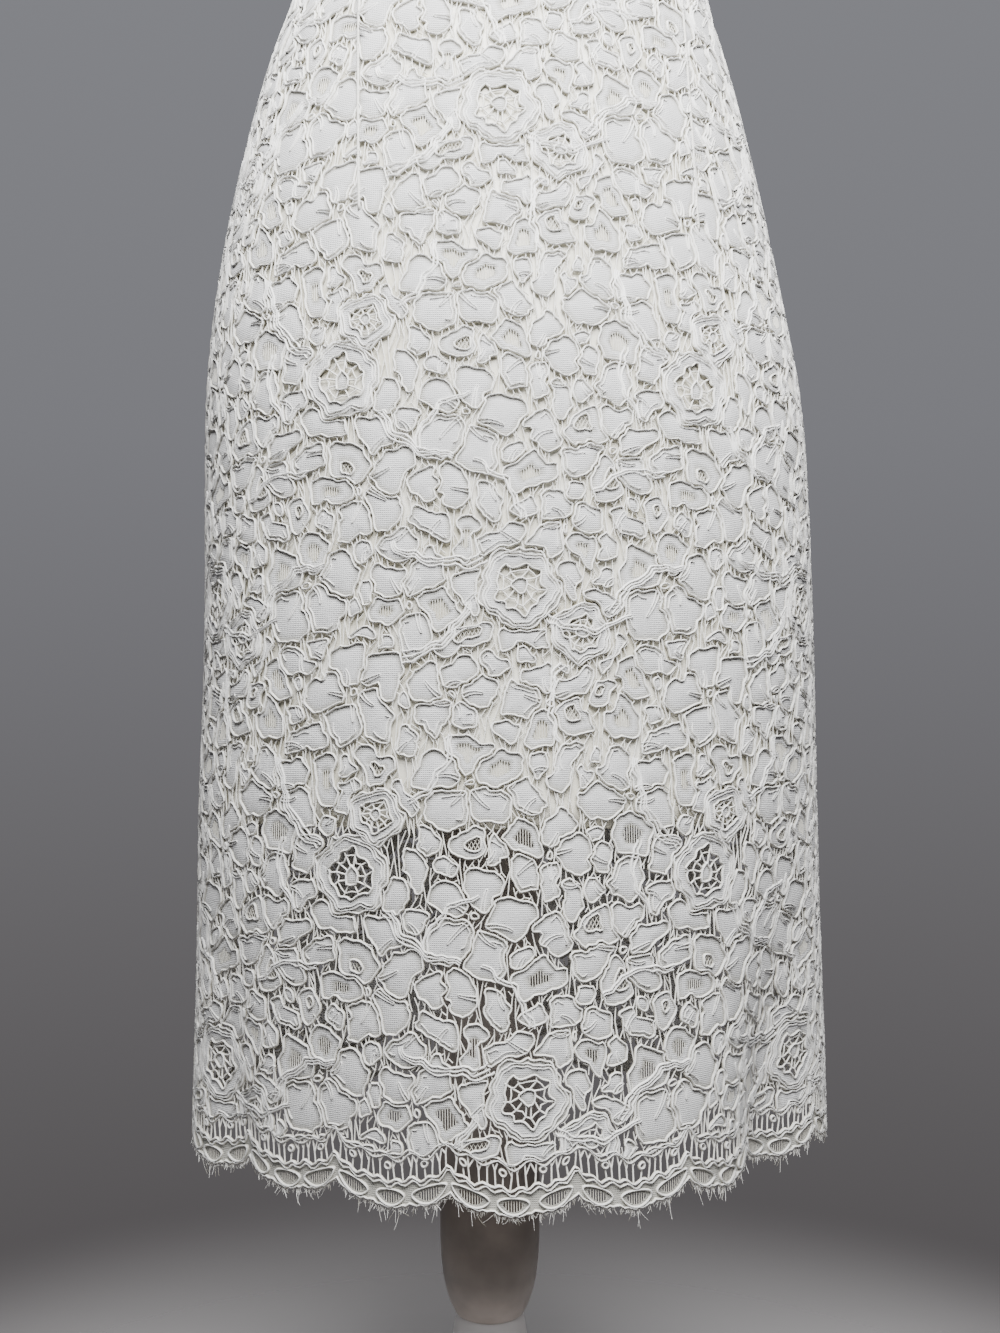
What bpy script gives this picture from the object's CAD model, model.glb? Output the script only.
"""Looks of the lace sheath dress on its limbless form, for one steady camera.

Metres, +Z up. The front faces -Y and the wearer's left is at +X. Angles round the body start
at the centre front and grow towards +X. The lace's own measures are in millimetres: a length
along the cloth from its panel's centre line, a height above the lace floor, and a lift off it.
"""

import math

import bpy
import numpy as np
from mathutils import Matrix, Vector


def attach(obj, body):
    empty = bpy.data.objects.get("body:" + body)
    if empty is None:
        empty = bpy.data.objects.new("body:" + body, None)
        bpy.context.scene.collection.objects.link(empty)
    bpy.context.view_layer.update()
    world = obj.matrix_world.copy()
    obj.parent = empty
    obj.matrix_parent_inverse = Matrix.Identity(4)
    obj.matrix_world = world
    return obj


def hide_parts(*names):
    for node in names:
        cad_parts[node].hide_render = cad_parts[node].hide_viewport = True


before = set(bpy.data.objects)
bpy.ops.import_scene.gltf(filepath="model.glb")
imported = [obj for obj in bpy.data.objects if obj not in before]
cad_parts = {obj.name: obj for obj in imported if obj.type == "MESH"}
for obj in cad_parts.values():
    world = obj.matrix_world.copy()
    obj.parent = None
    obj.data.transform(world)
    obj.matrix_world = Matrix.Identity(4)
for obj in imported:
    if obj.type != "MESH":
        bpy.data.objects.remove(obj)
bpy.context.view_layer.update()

# Heights above the floor
LACE_FLOOR = 0.290
HEM = 0.302
LINING_HEM = 0.481
FORM_BOTTOM = 0.620
ZIP_BOTTOM = 0.800
LEVEL_TOP = 1.150
UNDERARM = 1.190
NECK_FRONT = 1.295
SHOULDER_TIP = 1.335
NECK_BACK = 1.360
NECK_SIDE = 1.375
FORM_TOP = 1.450

# The outside of the dress, level by level. Corner is how far the section swells at its four corners.
# z, half_width, front_depth, back_depth, shift_x, corner
SECTIONS = np.array((
    (0.270, 0.1850, 0.148, 0.141, 0.0158, -0.085),
    (0.314, 0.1840, 0.145, 0.140, 0.0156, -0.080),
    (0.372, 0.1820, 0.142, 0.138, 0.0152, -0.060),
    (0.431, 0.1800, 0.139, 0.136, 0.0144, -0.040),
    (0.489, 0.1786, 0.136, 0.134, 0.0138, -0.020),
    (0.548, 0.1764, 0.132, 0.133, 0.0139, 0.000),
    (0.606, 0.1750, 0.129, 0.132, 0.0137, 0.005),
    (0.665, 0.1738, 0.125, 0.130, 0.0126, 0.010),
    (0.723, 0.1709, 0.120, 0.127, 0.0108, 0.012),
    (0.782, 0.1620, 0.113, 0.120, 0.0082, 0.012),
    (0.840, 0.1502, 0.106, 0.108, 0.0074, 0.012),
    (0.899, 0.1350, 0.098, 0.094, 0.0074, 0.012),
    (0.957, 0.1178, 0.091, 0.083, 0.0084, 0.012),
    (1.000, 0.1172, 0.093, 0.080, 0.0084, 0.010),
    (1.060, 0.1270, 0.104, 0.084, 0.0080, 0.010),
    (1.130, 0.1400, 0.123, 0.091, 0.0080, 0.010),
    (1.190, 0.1490, 0.114, 0.096, 0.0080, 0.005),
    (1.250, 0.1570, 0.097, 0.096, 0.0080, 0.000),
    (1.300, 0.1600, 0.080, 0.088, 0.0080, 0.000),
    (1.335, 0.1520, 0.064, 0.076, 0.0080, 0.000),
    (1.358, 0.1170, 0.056, 0.067, 0.0080, 0.000),
    (1.375, 0.0930, 0.053, 0.062, 0.0080, 0.000),
    (1.395, 0.0690, 0.051, 0.058, 0.0080, 0.000),
    (1.415, 0.0590, 0.050, 0.055, 0.0080, 0.000),
    (1.450, 0.0560, 0.050, 0.054, 0.0080, 0.000),
))

# Soft valleys that hang down to the hem
# angle_deg, width_deg, depth, top
FOLDS = (
    (-66, 7, 0.0055, 0.500),
    (47, 10, 0.0130, 0.520),
    (118, 11, 0.0065, 0.490),
    (-122, 12, 0.0080, 0.520),
    (170, 12, 0.0045, 0.460),
)

# Layers, and the parts of the design
LINING_IN = 0.0017
LINING_THICK = 0.0010
FORM_IN = 0.0034
FORM_SHOULDER_IN = 0.0145
ARMHOLE_INSET = math.radians(32)
SEAM_GAP = 0.0006
ZIP_HALF_GAP = 0.0018
RIGHT_ANGLE = math.pi / 2
REPEAT_W = 184.0
REPEAT_H = 245.0
SCALLOP_W = REPEAT_W / 3
SCALLOP_SHIFT = 5.0
SCALLOP_DEEP = 9.0
LOBES_PER_SCALLOP = 3
LOBE_DEEP = 1.6
BORDER_TALL = 25.0

# Darts: inner edge's distance from the centre line, top and bottom, and the cloth taken out
# panel, place, low, high, widest_at, taken
DARTS = (
    ("front", 90.0, 0.790, 1.080, 0.960, 26.0),
    ("back_left", 80.0, 0.820, 1.120, 0.970, 26.0),
    ("back_right", 80.0, 0.820, 1.120, 0.970, 26.0),
)


# Body surface

def smooth(x):
    x = np.clip(x, 0.0, 1.0)
    return x * x * (3 - 2 * x)


SLOPES = np.gradient(SECTIONS, SECTIONS[:, 0], axis=0)


def section(z):
    """Half width, front depth, back depth, shift and corner at each height, on a smooth curve."""
    z = np.clip(z, SECTIONS[0, 0], SECTIONS[-1, 0])
    i = np.clip(np.searchsorted(SECTIONS[:, 0], z) - 1, 0, len(SECTIONS) - 2)
    gap = SECTIONS[i + 1, 0] - SECTIONS[i, 0]
    t = ((z - SECTIONS[i, 0]) / gap)[..., None]
    gap = gap[..., None]
    a, b, sa, sb = SECTIONS[i], SECTIONS[i + 1], SLOPES[i], SLOPES[i + 1]
    row = ((1 + 2 * t) * (1 - t) ** 2 * a + t * (1 - t) ** 2 * gap * sa
           + t * t * (3 - 2 * t) * b + t * t * (t - 1) * gap * sb)
    return np.moveaxis(row, -1, 0)[1:]


def skin(angle, z):
    """Points on the outside of the dress."""
    half, front, back, shift, corner = section(z)
    depth = np.where(np.cos(angle) > 0, front, back)
    swell = 1 + corner * np.sin(2 * angle) ** 2
    across, along = np.sin(angle), -np.cos(angle)
    valley = np.zeros_like(angle)
    for degrees, width, deep, top in FOLDS:
        away = (angle - math.radians(degrees) + math.pi) % (2 * math.pi) - math.pi
        hang = smooth((top - z) / (top - HEM)) ** 1.5
        valley = valley + deep * hang * np.exp(-((away / math.radians(width)) ** 2))
    nx, ny = across / half, along / depth
    size = np.hypot(nx, ny)
    x = shift + half * across * swell - valley * nx / size
    y = depth * along * swell - valley * ny / size
    return np.stack((x, y, z), axis=-1)


def placed(angle, z, inwards=0.0):
    """Points that lie a little inside the outside of the dress, square to it."""
    angle, z = np.broadcast_arrays(np.asarray(angle, float), np.asarray(z, float))
    step = 0.002
    round_it = skin(angle + step, z) - skin(angle - step, z)
    up_it = skin(angle, z + step) - skin(angle, z - step)
    normal = np.cross(round_it, up_it)
    normal /= np.linalg.norm(normal, axis=-1, keepdims=True)
    return skin(angle, z) - np.asarray(inwards)[..., None] * normal


def armhole(z):
    """How far the armhole's edge draws a panel's side in from the side seam, as an angle."""
    u = np.clip((z - UNDERARM) / (SHOULDER_TIP - UNDERARM), 0, 1)
    return ARMHOLE_INSET * np.sin(math.pi * u) ** 0.7


# Lace: one repeat of flowers, leaves and odd petals

LAYOUT_SEED = 5
NEAR_GAP = 0.5
ROSE_GAP = 0.9
FAR_GAP = (0.9, 4.4)
FILLER_MOST = 10.5
FILLER_LEAST = 4.2
FILLER_SWELL = 1.15
JOIN_SHARE = 0.55
NOTCH_SHARE = 0.45
NEIGHBOUR_REACH = 60.0
RING_RADIUS = 2.3
SMALLEST_RADIUS = 2.2

# x, y, radius
ROSES = ((80, 168, 20), (94, 197, 14), (166, 63, 20), (12, 41, 15))
CRESCENTS = 4
CRESCENT_TURN = 1.5
# x, y, radius, petals, turn_deg
BLOSSOMS = (
    (140, 214, 29, 5, 20), (36, 206, 28, 5, 50), (142, 148, 29, 5, 0), (30, 132, 27, 6, 80),
    (88, 112, 29, 5, 35), (58, 66, 29, 5, 15), (112, 56, 25, 5, 60), (84, 12, 28, 5, 100),
    (132, 10, 25, 5, 10), (178, 178, 24, 5, 70), (6, 92, 22, 4, 30), (180, 8, 24, 5, 40),
)
# x, y, length, width, angle_deg
LEAVES = (
    (58, 234, 38, 17, 20), (112, 232, 30, 14, 110), (4, 222, 34, 15, 60), (112, 172, 34, 15, 100),
    (52, 160, 32, 14, 60), (174, 120, 40, 18, 30), (124, 96, 32, 14, 150), (36, 96, 34, 15, 150),
    (140, 86, 32, 14, 80), (138, 36, 34, 15, 20), (36, 22, 34, 15, 130), (86, 40, 26, 12, 20),
    (4, 158, 32, 14, 110), (170, 30, 26, 12, 150),
)
# Soft ripples that bend the whole design, so that lines side by side wave together
# cycles_across, cycles_up, shift_x, shift_y, phase
RIPPLES = (
    (7, 9, 0.90, -0.60, 0.4),
    (-9, 8, 0.60, 0.90, 2.1),
    (17, 5, 0.18, 0.45, 1.3),
    (-6, 25, 0.42, 0.12, 4.0),
    (21, 21, 0.24, -0.22, 5.2),
    (-23, 17, 0.22, 0.24, 0.9),
    (31, -7, 0.09, 0.20, 3.3),
    (9, 40, 0.20, 0.06, 2.6),
)


def wrap(d, period):
    return (d + period / 2) % period - period / 2


def rippled(x, y):
    """Where the ripples carry points of the plain design."""
    move_x, move_y = 0.0, 0.0
    for across, up, shift_x, shift_y, phase in RIPPLES:
        wave = np.sin(2 * math.pi * (across * x / REPEAT_W + up * y / REPEAT_H) + phase)
        move_x = move_x + shift_x * wave
        move_y = move_y + shift_y * wave
    return x + move_x, y + move_y


class Cell:
    """One closed patch of the lace with its free outline, as a radius for each direction."""

    def __init__(self, kind, x, y, long, wide, angle, motif, rng, lobes=0.10):
        self.kind, self.x, self.y, self.motif = kind, x % REPEAT_W, y % REPEAT_H, motif
        self.long, self.wide, self.angle = long, wide, angle
        self.waves = [(n, lobes * rng.uniform(0.2, 0.7), rng.uniform(0, 2 * math.pi)) for n in (2, 3)]
        self.lobes = (int(rng.integers(3, 7)), rng.uniform(0.04, 0.17), rng.uniform(0, math.pi))
        depth = rng.uniform(0.5, 0.72) if rng.uniform() < NOTCH_SHARE else 0.0
        self.notch = (rng.uniform(0, 2 * math.pi), depth, rng.uniform(0.16, 0.42))
        self.gap = rng.uniform(*FAR_GAP)

    def free(self, theta):
        t = theta - self.angle
        r = 1 / np.sqrt((np.cos(t) / self.long) ** 2 + (np.sin(t) / self.wide) ** 2)
        if self.kind in ("rose", "ring"):
            return r
        k = 1 + sum(a * np.cos(n * t + p) for n, a, p in self.waves)
        count, cusp, turn = self.lobes
        k = k - cusp * (1 - np.abs(np.sin(count * t / 2 + turn)) ** 0.6)
        at, depth, width = self.notch
        away = (t - at + math.pi) % (2 * math.pi) - math.pi
        return r * k * (1 - depth * np.exp(-np.abs(away / width) ** 1.5))

    def outside(self, x, y):
        """Roughly how far points lie outside the free outline."""
        dx, dy = wrap(x - self.x, REPEAT_W), wrap(y - self.y, REPEAT_H)
        return np.hypot(dx, dy) - self.free(np.arctan2(dy, dx))


def layout():
    """All patches of one repeat: roses, blossoms and leaves by hand, fillers where room is left."""
    rng = np.random.default_rng(LAYOUT_SEED)
    cells = []
    motif = 0
    for x, y, radius in ROSES:
        motif += 1
        cells.append(Cell("rose", x, y, radius, radius, 0, motif, rng))
        turn = rng.uniform(0, 2 * math.pi)
        for k in range(CRESCENTS):
            a = turn + k * CRESCENT_TURN + rng.uniform(-0.15, 0.15)
            far = radius * 1.3
            cells.append(Cell("crescent", x + far * math.cos(a), y + far * math.sin(a),
                              radius * 0.85, radius * 0.36, a + math.pi / 2, motif, rng))
    for x, y, radius, petals, turn in BLOSSOMS:
        motif += 1
        cells.append(Cell("ring", x, y, RING_RADIUS, RING_RADIUS, 0, motif, rng))
        for k in range(petals):
            a = math.radians(turn) + 2 * math.pi * (k + rng.uniform(-0.1, 0.1)) / petals
            far = radius * rng.uniform(0.50, 0.62)
            long, wide = radius * rng.uniform(0.42, 0.60), radius * rng.uniform(0.32, 0.48)
            cells.append(Cell("petal", x + far * math.cos(a), y + far * math.sin(a),
                              long, wide, a, motif, rng))
    for x, y, long, wide, angle in LEAVES:
        motif += 1
        cells.append(Cell("leaf", x, y, long / 2, wide / 2, math.radians(angle), motif, rng, 0.14))
    gx, gy = np.meshgrid(np.arange(0, REPEAT_W), np.arange(0, REPEAT_H))
    rooms = [c.outside(gx, gy) for c in cells]
    room = np.min(rooms, axis=0)
    while room.max() > FILLER_LEAST:
        j = int(room.argmax())
        size = min(float(room.max()) * FILLER_SWELL, FILLER_MOST)
        motif += 1
        near = cells[int(np.argmin([r.flat[j] for r in rooms]))]
        mine = near.motif if rng.uniform() < JOIN_SHARE and near.kind != "rose" else motif
        long, wide = size * rng.uniform(1.0, 1.4), size * rng.uniform(0.7, 1.0)
        cells.append(Cell("filler", float(gx.flat[j]), float(gy.flat[j]), long, wide,
                          rng.uniform(0, math.pi), mine, rng, 0.18))
        rooms.append(cells[-1].outside(gx, gy))
        room = np.minimum(room, rooms[-1])
    return cells


def rounded(radius, reach=2):
    """The outline without narrow tips, while its notches stay."""
    turns = range(-reach, reach + 1)
    lowest = np.min([np.roll(radius, k) for k in turns], axis=0)
    opened = np.max([np.roll(lowest, k) for k in turns], axis=0)
    return (np.roll(opened, 1) + 2 * opened + np.roll(opened, -1)) / 4


def grown(cells, points=72, steps=40, reach=1.25):
    """The patches that stay, each with its radius at even angles once it has given way to the others."""
    theta = np.linspace(0, 2 * math.pi, points, endpoint=False)
    found = []
    for i, c in enumerate(cells):
        free = c.free(theta)
        if c.kind in ("rose", "ring"):
            found.append((c, free))
            continue
        t = np.linspace(0.12, reach, steps)
        r = free[:, None] * t[None, :]
        x = c.x + r * np.cos(theta)[:, None]
        y = c.y + r * np.sin(theta)[:, None]
        own = r - free[:, None]
        ok = np.ones_like(r, dtype=bool)
        for k, other in enumerate(cells):
            away = math.hypot(wrap(other.x - c.x, REPEAT_W), wrap(other.y - c.y, REPEAT_H))
            if k == i or away > NEIGHBOUR_REACH:
                continue
            there = other.outside(x, y)
            if other.kind in ("rose", "ring"):
                ok &= there > ROSE_GAP
            else:
                ok &= own < there - (NEAR_GAP if other.motif == c.motif else (c.gap + other.gap) / 2)
        stop = np.where(ok.all(1), steps - 1, np.argmin(ok, axis=1) - 1)
        radius = rounded(free * t[np.clip(stop, 0, steps - 1)])
        if radius.mean() > SMALLEST_RADIUS:
            found.append((c, radius))
    return theta, found


def scallop(s):
    """Height of the hem's edge above its lowest line, in millimetres, at a length along it."""
    s = s - SCALLOP_SHIFT
    big = 1 - np.abs(np.sin(math.pi * s / SCALLOP_W)) ** 0.7
    lobe = 1 - np.abs(np.sin(math.pi * s * LOBES_PER_SCALLOP / SCALLOP_W))
    return SCALLOP_DEEP * big + LOBE_DEEP * lobe


def hem_height(s):
    """Height of the hem's edge above the lace floor, in millimetres."""
    return (HEM - LACE_FLOOR) * 1000 - SCALLOP_DEEP / 2 + scallop(s)


# Panels: from the flat cloth to the body

TABLE_STEP_Z = 0.005
TABLE_STEP_S = 2.0
TABLE_REACH = 420.0
DART_RIDGE = 1.3
DART_VALLEY = 0.5
DART_WIDE = 3.0
EDGE_SLACK = 0.3
BODY_RADIUS = 150
SIDE_STEPS = 181
EDGE_ROUNDS = 2


class Panel:
    """One cut piece: its centre line's angle, and which part of the half round it takes."""

    def __init__(self, name, centre, low, high, neck):
        self.name, self.centre, self.low, self.high, self.neck = name, centre, low, high, neck
        self.darts = [row[1:] for row in DARTS if row[0] == name]
        self.heights = np.arange(SECTIONS[0, 0], NECK_SIDE + TABLE_STEP_Z, TABLE_STEP_Z)
        self.lengths = np.arange(-TABLE_REACH, TABLE_REACH + 1, TABLE_STEP_S)
        away = np.linspace(-RIGHT_ANGLE, RIGHT_ANGLE, SIDE_STEPS)
        turn, z = np.meshgrid(away, self.heights)
        points = skin(centre + turn, z)
        steps = np.linalg.norm(np.diff(points, axis=1), axis=2) * 1000
        length = np.concatenate((np.zeros((len(self.heights), 1)), np.cumsum(steps, axis=1)), axis=1)
        length -= length[:, len(away) // 2][:, None]
        self.table = np.array([np.interp(self.lengths, row, away) for row in length])

    def sides(self, z):
        """Angles of the panel's two side edges, from its centre line."""
        half = section(z)[0]
        side = RIGHT_ANGLE - SEAM_GAP / 2 / half - armhole(z)
        slit = np.where(z > ZIP_BOTTOM, ZIP_HALF_GAP, SEAM_GAP / 2) / half
        low = -side if self.low < 0 else slit
        high = side if self.high > 0 else -slit
        return low, high

    def seam_lengths(self, z):
        """Lengths along the cloth at the panel's two side edges."""
        row = self.table[int((z - self.heights[0]) / TABLE_STEP_Z)]
        return np.interp(self.sides(np.array(z)), row, self.lengths)

    def turn(self, s, z):
        """Angle from the centre line at a length and height, read from the table."""
        i = np.clip((z - self.heights[0]) / TABLE_STEP_Z, 0, len(self.heights) - 1.001)
        k = np.clip((s + TABLE_REACH) / TABLE_STEP_S, 0, len(self.lengths) - 1.001)
        row, column = i.astype(int), k.astype(int)
        i, k = i - row, k - column
        t = self.table
        lower = t[row, column] * (1 - k) + t[row, column + 1] * k
        upper = t[row + 1, column] * (1 - k) + t[row + 1, column + 1] * k
        return lower * (1 - i) + upper * i

    def darted(self, p, z):
        """Lengths once the darts' cloth is folded away, and which points went with it."""
        s, folded = p.copy(), np.zeros(p.shape, bool)
        for place, low, high, widest, taken in self.darts:
            side = np.where(z < widest, (z - low) / (widest - low), (high - z) / (high - widest))
            wide = taken * np.clip(side, 0, 1)
            far = np.abs(p)
            folded |= (far > place) & (far < place + wide)
            s = np.sign(p) * (np.minimum(far, place) + np.maximum(far - place - wide, 0))
        return s, folded

    def ridge(self, s, z):
        """Lift of the cloth beside each dart's seam, in millimetres."""
        lift = np.zeros_like(s)
        for place, low, high, widest, _ in self.darts:
            tall = smooth((z - low) / (widest - low)) * smooth((high - z) / (high - widest))
            away = np.abs(s) - place
            lift += tall * (DART_RIDGE * np.exp(-((away + DART_WIDE / 2) / DART_WIDE) ** 2)
                            - DART_VALLEY * np.exp(-((away - DART_WIDE) / DART_WIDE) ** 2))
        return lift

    def neck_top(self, turn, z):
        """The neckline's height above points at these angles."""
        across = np.clip(section(z)[0] * np.sin(turn) / section(np.array(NECK_SIDE))[0], -1, 1)
        return NECK_SIDE - (NECK_SIDE - self.neck) * np.sqrt(1 - across ** 2)

    def laid(self, flat, floor):
        """Points on the body for rows of (length, height, lift), and which were cut off at an edge."""
        p, q, lift = flat.T
        z = LACE_FLOOR + q / 1000
        s, cut = self.darted(p, z)
        low_q = hem_height(s) + floor
        cut = cut | (q < low_q - EDGE_SLACK)
        z = np.clip(LACE_FLOOR + np.maximum(q, low_q) / 1000, None, NECK_SIDE)
        for _ in range(EDGE_ROUNDS):
            low, high = self.sides(z)
            free = self.turn(s, z)
            turn = np.clip(free, low, high)
            cut = cut | (np.abs(free - turn) * BODY_RADIUS > EDGE_SLACK)
            top = self.neck_top(turn, z)
            cut = cut | (z > top + EDGE_SLACK / 1000)
            z = np.minimum(z, top)
        return placed(self.centre + turn, z, -(lift + self.ridge(s, z)) / 1000), cut

    def grid(self, bottom, columns, rows, upper_rows):
        """Angles and heights of the panel's grid, from its bottom level to its neckline."""
        u = np.linspace(self.low, self.high, columns * (self.high - self.low) // 2 + 1)
        neck_z = NECK_SIDE - (NECK_SIDE - self.neck) * np.cos(RIGHT_ANGLE * u)
        neck_x = section(np.array(NECK_SIDE))[0] * np.sin(RIGHT_ANGLE * np.abs(u))
        reach = np.arcsin(np.clip(neck_x / section(neck_z)[0], 0, 1)) / RIGHT_ANGLE
        parts = np.concatenate((np.zeros(rows), np.arange(1, upper_rows + 1) / upper_rows))
        levels = np.concatenate((np.linspace(bottom, LEVEL_TOP, rows), np.full(upper_rows, LEVEL_TOP)))
        heights = levels[:, None] + (neck_z - LEVEL_TOP) * parts[:, None]
        turn = u + (np.sign(u) * reach - u) * smooth(parts[:, None])
        seam = SEAM_GAP / 2 / section(heights)[0]
        away = turn * (RIGHT_ANGLE - seam) - armhole(heights) * u ** 3
        low, high = self.sides(heights)
        if self.low == 0:
            away = np.maximum(away, low)
        if self.high == 0:
            away = np.minimum(away, high)
        return self.centre + away, heights

    def hand(self, side):
        """The wearer's side at which this edge of the panel lies."""
        return "left" if math.sin(self.centre + side) > 0 else "right"


PANELS = (
    Panel("front", 0.0, -1, 1, NECK_FRONT),
    Panel("back_left", math.pi, -1, 0, NECK_BACK),
    Panel("back_right", math.pi, 0, 1, NECK_BACK),
)


# Meshes

def principled(name, colour, roughness, **inputs):
    found = bpy.data.materials.new(name)
    found.use_nodes = True
    shader = found.node_tree.nodes["Principled BSDF"]
    shader.inputs["Base Color"].default_value = (*colour, 1)
    shader.inputs["Roughness"].default_value = roughness
    for key, value in inputs.items():
        shader.inputs[key.replace("_", " ")].default_value = value
    return found


def mesh_object(name, points, faces, finish, flat=None):
    """An object from arrays of points and triangles; flat holds each point's place on the cloth."""
    mesh = bpy.data.meshes.new(name)
    mesh.vertices.add(len(points))
    mesh.vertices.foreach_set("co", np.ascontiguousarray(points, dtype=np.float32).ravel())
    mesh.loops.add(len(faces) * 3)
    mesh.loops.foreach_set("vertex_index", np.ascontiguousarray(faces, dtype=np.int32).ravel())
    mesh.polygons.add(len(faces))
    mesh.polygons.foreach_set("loop_start", np.arange(0, len(faces) * 3, 3, dtype=np.int32))
    mesh.update(calc_edges=True)
    mesh.validate()
    mesh.shade_smooth()
    if flat is not None:
        layer = mesh.attributes.new("flat", "FLOAT_VECTOR", "POINT")
        layer.data.foreach_set("vector", np.ascontiguousarray(flat, dtype=np.float32).ravel())
    mesh.materials.append(finish)
    thing = bpy.data.objects.new(name, mesh)
    bpy.context.scene.collection.objects.link(thing)
    return thing


def quads(a, b, c, d):
    """Two triangles for each four corners."""
    halves = (np.stack((a, b, c), axis=-1), np.stack((a, c, d), axis=-1))
    return np.concatenate([half.reshape(-1, 3) for half in halves])


def corners(grid):
    """The four corners of each field of a grid."""
    return grid[:-1, :-1], grid[:-1, 1:], grid[1:, 1:], grid[1:, :-1]


class Pattern:
    """Rows of points, such as (length, height, lift), with triangles, gathered piece by piece."""

    def __init__(self):
        self.points, self.faces, self.count = [], [], 0

    def add(self, points, faces):
        self.points.append(points)
        self.faces.append(faces + self.count)
        self.count += len(points)

    def arrays(self):
        return np.concatenate(self.points), np.concatenate(self.faces)

    def rings(self, rings, end=None, start=None):
        """Skin between closed outlines with as many points each, and fans to centre points."""
        n = len(rings[0])
        k = np.arange(n)
        following = (k + 1) % n
        faces = [quads(k + i, following + i, following + i + n, k + i + n)
                 for i in range(0, (len(rings) - 1) * n, n)]
        points = list(rings)
        total = len(rings) * n
        last = total - n
        for centre, a, b in ((end, k + last, following + last), (start, following, k)):
            if centre is not None:
                points.append(np.array([centre]))
                faces.append(np.stack((a, b, np.full(n, total)), axis=1))
                total += 1
        self.add(np.concatenate(points), np.concatenate(faces))

    def strip(self, route, half_wide, edge_lift, top_lift):
        """A ridge along an open route of (length, height) points, with two sloping sides."""
        along = np.gradient(route, axis=0)
        along /= np.linalg.norm(along, axis=1, keepdims=True) + 1e-9
        side = np.stack((-along[:, 1], along[:, 0]), axis=1) * half_wide
        rows = [lifted(route - side, edge_lift), lifted(route, top_lift), lifted(route + side, edge_lift)]
        grid = np.arange(3 * len(route)).reshape(3, -1)
        self.add(np.concatenate(rows), quads(*corners(grid)))


def lifted(flat, lift):
    return np.column_stack((flat, np.full(len(flat), lift)))


def even_outline(outline, spacing):
    """The closed outline with its points spread evenly."""
    closed = np.vstack((outline, outline[:1]))
    length = np.concatenate(((0,), np.cumsum(np.linalg.norm(np.diff(closed, axis=0), axis=1))))
    count = max(OUTLINE_LEAST, int(round(length[-1] / spacing)))
    at = np.linspace(0, length[-1], count, endpoint=False)
    return np.stack((np.interp(at, length, closed[:, 0]), np.interp(at, length, closed[:, 1])), axis=1), at


def inward(outline):
    """Unit steps square to an anticlockwise outline, towards its inside."""
    along = np.roll(outline, -1, axis=0) - np.roll(outline, 1, axis=0)
    along /= np.linalg.norm(along, axis=1, keepdims=True) + 1e-9
    return np.stack((-along[:, 1], along[:, 0]), axis=1)


# How the lace is drawn, in millimetres
OUTLINE_LEAST = 9
FINE_SPACING = 1.9
COARSE_SPACING = 3.4
FINE_TOP = 675.0
SMOOTH_STEP = 0.5
ROUNDING = 0.9
LOBE_OUT = (0.2, 0.8)
LOBE_ALONG = (5.0, 9.0)
CRIMP = 0.14
CRIMP_LENGTH = 3.4
# inset, lift
CORD = ((-0.05, -0.75), (0.55, 0.80), (1.20, -0.45))
CORD_HALF = 0.65
WOVEN_INSET = 0.85
WOVEN_FOOT = -0.60
WOVEN_SHOULDER = 0.05
WOVEN_TOP = 0.20
SHOULDER_SHARE = 0.66
NET_SHARE = 0.30
NET_RADIUS = 6.6
NET_SCALE = (0.34, 0.50)
NET_SHIFT = 0.30
LADDER_SHARE = 0.5
THREAD_STEP = 1.3
THREAD_HALF = 0.2
THREAD_PAST = 0.3
# Lifts of a strip's two edges, and of its top
LADDER_LIFTS = (-0.5, -0.1)
NET_LIFTS = (-0.6, -0.2)
BAR_LIFTS = (-0.45, 0.15)
POST_LIFTS = (-0.45, 0.2)
WEB_LIFTS = (-0.4, 0.2)
SPOKE_LIFTS = (-0.4, 0.25)
BOAT_LIFTS = (-0.6, -0.3)
NET_STEP = 1.7
NET_ANGLES = (math.radians(28), math.radians(-28))
BAR_STEP = 3.3
BAR_HALF = 0.30
BAR_LEAST = 1.5
BAR_SLANT = 1.0
FORK_LEAST = 3.4
FORK_SPREAD = 1.5
BAR_PAST = (0.6, 0.3)
FORK_AT = (0.35, 0.65)
# Rose's wavy bands and its thin ring: share of the radius, waves, their depth
ROSE_BANDS = ((1.0, 9, 0.025), (0.84, 7, 0.035), (0.62, 9, 0.05))
ROSE_WEB = (0.42, 10, 0.06)
ROSE_LINE_APART = 1.5
HUB_SHARE = 0.22
SPOKE_SHARES = (0.18, 0.42, 0.62)
ROSE_SPOKES = 10
SPUR_RADIUS = 4.6
COARSE_SPUR_RADIUS = 7.5
SPUR_HALF = 0.46
SPUR_APART = 0.60
SPUR_SHARE = 0.75
SPUR_STEPS = 5
SPUR_LEAN = 0.6
SPUR_BEND = 2.4
SPUR_TAPER = (1.6, 0.8)
ECHO_RADIUS = 5.6
ECHO_SHARE = 0.55
ECHO_INSET = 2.5
ECHO_BOW = 1.5
STEM_LIFTS = (-0.2, 0.95)
STEM_APART = 1.75
STEM_TAPER = (1.35, 0.55)
# What is drawn by lot for each patch, in this order
LUCK = (
    "lobe_out", "lobe_along", "lobe_turn", "hole_size", "ladder", "hole_side", "spur_lean", "spur_bend",
    "spur_long", "echo_start", "echo_long", "echo", "opened", "spur", "spur_start",
)
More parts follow.
